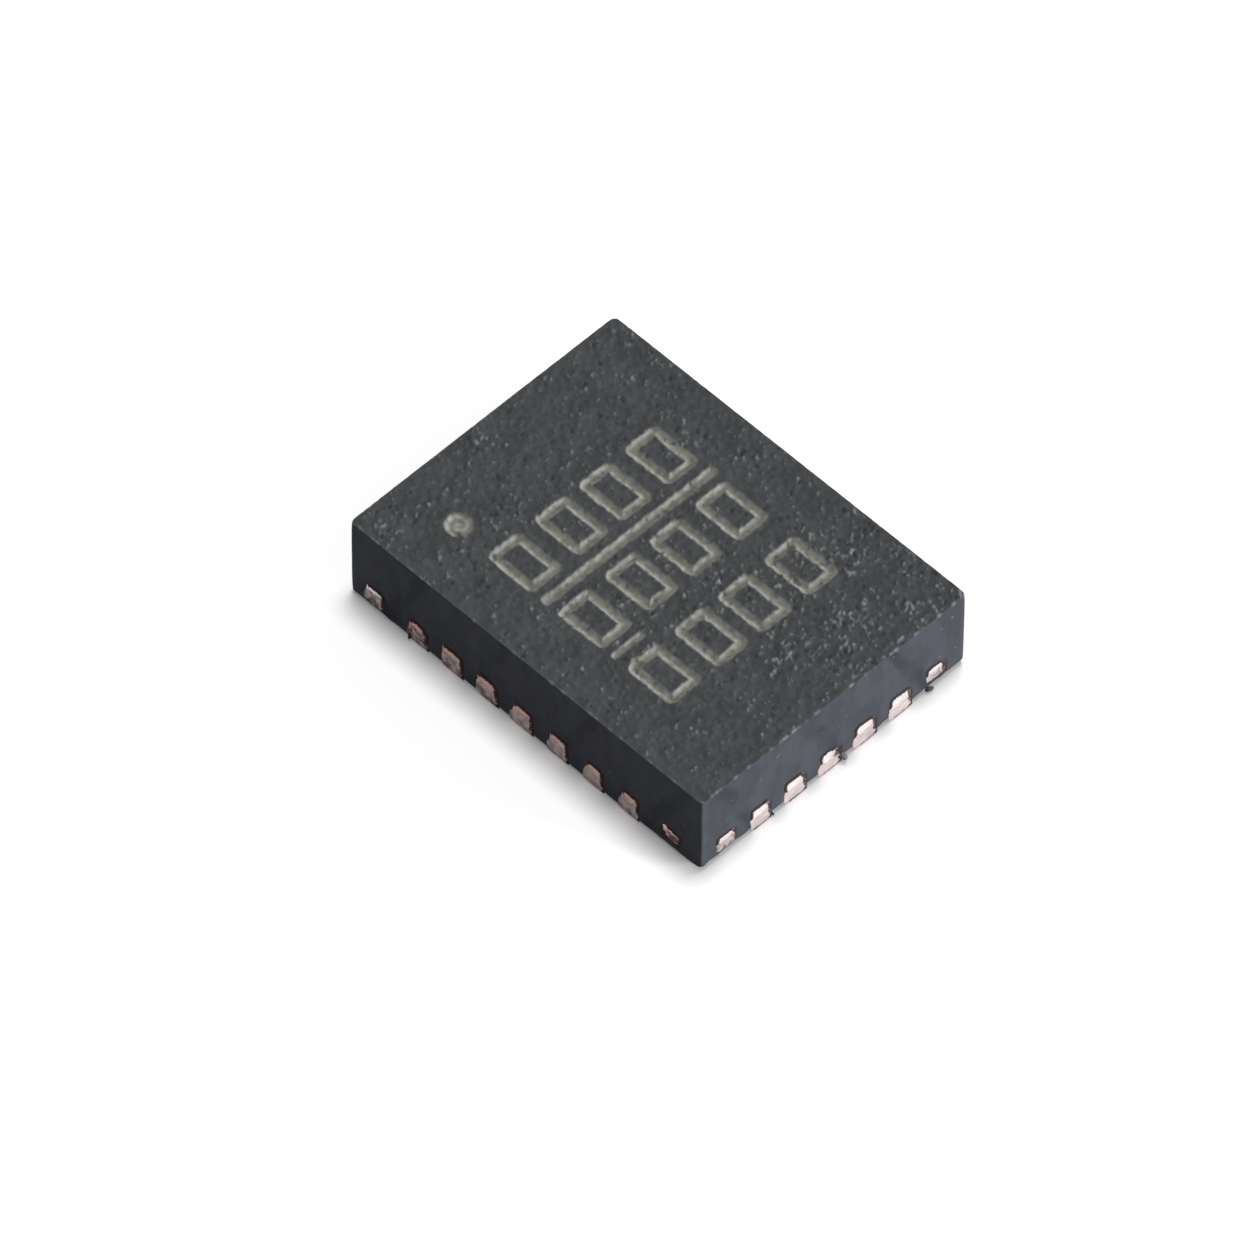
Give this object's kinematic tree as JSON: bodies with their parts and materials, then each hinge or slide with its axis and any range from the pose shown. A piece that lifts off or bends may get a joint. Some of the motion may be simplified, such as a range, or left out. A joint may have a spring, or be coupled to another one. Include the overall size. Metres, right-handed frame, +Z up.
{
  "type": "qfn chip",
  "caption": "Flat rectangular no-lead chip package: a dark moulded body with copper terminals flush in its sides and underside, and an exposed pad to solder to a board.",
  "frame": {"origin": "centre of the underside, on the seating plane of the exposed pad and the feet", "axes": "+Z up through the top face, +Y along the long sides; terminal 1 is next to the corner of -X and +Y"},
  "size_m": [0.003, 0.004, 0.0009],
  "materials": {
    "mold_compound": "dark grey filled epoxy, fine grain on top, sawn smooth on the sides",
    "lead_frame": "copper alloy, sawn bare and smeared at the sides, tin plated underneath",
    "die_attach": "silver filled adhesive",
    "silicon": "polished silicon",
    "bond_wire": "drawn gold wire"
  },
  "bodies": {
    "root": {"mold_body": "mold_compound", "die_paddle": "lead_frame", "die_attach": "die_attach", "die": "silicon", "lead_01": "lead_frame", "lead_02": "lead_frame", "lead_03": "lead_frame", "lead_04": "lead_frame", "lead_05": "lead_frame", "lead_06": "lead_frame", "lead_07": "lead_frame", "lead_08": "lead_frame", "lead_09": "lead_frame", "lead_10": "lead_frame", "lead_11": "lead_frame", "lead_12": "lead_frame", "lead_13": "lead_frame", "lead_14": "lead_frame", "lead_15": "lead_frame", "lead_16": "lead_frame", "lead_17": "lead_frame", "lead_18": "lead_frame", "lead_19": "lead_frame", "lead_20": "lead_frame", "lead_21": "lead_frame", "lead_22": "lead_frame", "lead_23": "lead_frame", "lead_24": "lead_frame", "bond_wire_01": "bond_wire", "bond_wire_02": "bond_wire", "bond_wire_03": "bond_wire", "bond_wire_04": "bond_wire", "bond_wire_05": "bond_wire", "bond_wire_06": "bond_wire", "bond_wire_07": "bond_wire", "bond_wire_08": "bond_wire", "bond_wire_09": "bond_wire", "bond_wire_10": "bond_wire", "bond_wire_11": "bond_wire", "bond_wire_12": "bond_wire", "bond_wire_13": "bond_wire", "bond_wire_14": "bond_wire", "bond_wire_15": "bond_wire", "bond_wire_16": "bond_wire", "bond_wire_17": "bond_wire", "bond_wire_18": "bond_wire", "bond_wire_19": "bond_wire", "bond_wire_20": "bond_wire", "bond_wire_21": "bond_wire", "bond_wire_22": "bond_wire", "bond_wire_23": "bond_wire", "bond_wire_24": "bond_wire"}
  },
  "joints": []
}
